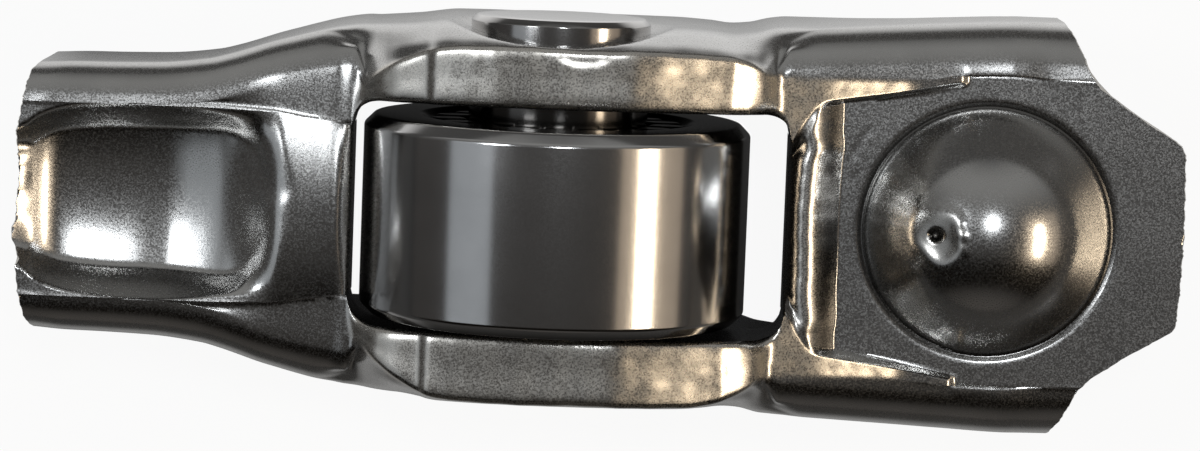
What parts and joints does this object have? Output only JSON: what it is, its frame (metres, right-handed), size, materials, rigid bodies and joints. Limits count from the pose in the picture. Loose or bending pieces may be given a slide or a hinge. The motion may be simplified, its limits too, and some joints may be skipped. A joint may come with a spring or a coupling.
{
  "type": "roller finger follower rocker arm",
  "caption": "Stamped steel roller finger follower: cam roller on needles in a windowed arm, valve pad at one end, domed pivot socket at the other.",
  "frame": {"origin": "on the roller's axis in the arm's middle plane", "axes": "+X along the arm towards the pivot dome, +Y along the roller's axis towards the pin's proud end, +Z towards the camshaft"},
  "size_m": [0.0542, 0.0194, 0.0185],
  "materials": {
    "arm_steel": "dark tumbled and hardened pressed steel with bright sheared edges",
    "pin_steel": "hardened and ground pin",
    "roller_steel": "ground and polished bearing steel",
    "needle_steel": "polished bearing steel"
  },
  "bodies": {
    "arm": {"arm_body": "arm_steel", "axle_pin": "pin_steel"},
    "roller_ring": {"roller": "roller_steel"},
    "needle_set": {"needle_01": "needle_steel", "needle_02": "needle_steel", "needle_03": "needle_steel", "needle_04": "needle_steel", "needle_05": "needle_steel", "needle_06": "needle_steel", "needle_07": "needle_steel", "needle_08": "needle_steel", "needle_09": "needle_steel", "needle_10": "needle_steel", "needle_11": "needle_steel", "needle_12": "needle_steel", "needle_13": "needle_steel", "needle_14": "needle_steel", "needle_15": "needle_steel", "needle_16": "needle_steel", "needle_17": "needle_steel"}
  },
  "joints": [
    {"name": "roller_spin", "type": "hinge", "parent": "arm", "child": "roller_ring", "pos_m": [0, 0, 0], "axis": [0, 1, 0], "continuous": true},
    {"name": "needle_orbit", "type": "hinge", "parent": "arm", "child": "needle_set", "pos_m": [0, 0, 0], "axis": [0, 1, 0], "continuous": true}
  ],
  "couplings": [
    {"joint": "needle_orbit", "follows": "roller_spin", "ratio": 0.5881}
  ]
}
